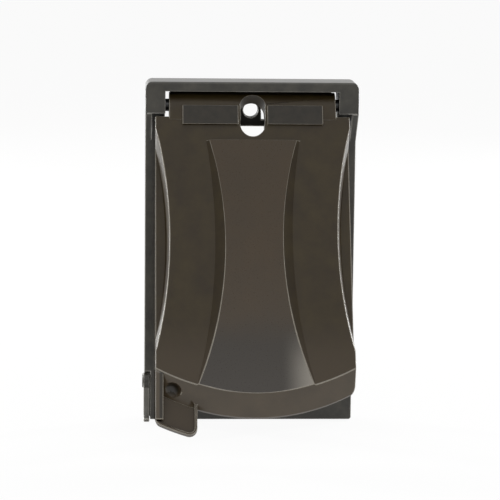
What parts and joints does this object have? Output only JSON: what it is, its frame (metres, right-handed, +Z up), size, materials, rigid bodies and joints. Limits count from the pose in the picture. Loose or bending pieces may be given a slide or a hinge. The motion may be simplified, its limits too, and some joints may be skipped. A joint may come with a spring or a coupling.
{
  "type": "weatherproof flip cover",
  "caption": "Wall-mounted weatherproof outlet cover: a die-cast frame with a hinged, waisted flip lid, pull tab and hanging lock lever.",
  "frame": {"origin": "midway between the two wall screws, on the wall plane at the gasket's back", "axes": "+X to the right seen from the front, +Y into the wall, +Z up"},
  "size_m": [0.0737, 0.063, 0.1199],
  "materials": {
    "frame_coat": "satin dark bronze powder coat",
    "lid_coat": "satin dark bronze powder coat",
    "gasket_foam": "closed-cell foam",
    "pin_steel": "plain",
    "washer_nylon": "moulded",
    "lever_coat": "satin dark bronze powder coat",
    "rivet_steel": "satin dark bronze powder coat"
  },
  "bodies": {
    "frame": {"base_frame": "frame_coat", "wall_gasket": "gasket_foam", "hinge_pin_left": "pin_steel", "hinge_pin_right": "pin_steel", "hinge_washer_left": "washer_nylon", "hinge_washer_right": "washer_nylon", "lock_rivet": "rivet_steel"},
    "lid": {"lid": "lid_coat"},
    "lever": {"lock_lever": "lever_coat"}
  },
  "joints": [
    {"name": "lid_hinge", "type": "hinge", "parent": "frame", "child": "lid", "pos_m": [0, -0.0112, 0.0507], "axis": [-1, 0, 0], "range_deg": [-27, 50]},
    {"name": "lever_pivot", "type": "hinge", "parent": "frame", "child": "lever", "pos_m": [-0.0357, -0.0055, -0.0471], "axis": [-1, 0, 0], "range_deg": [0, 90]}
  ]
}
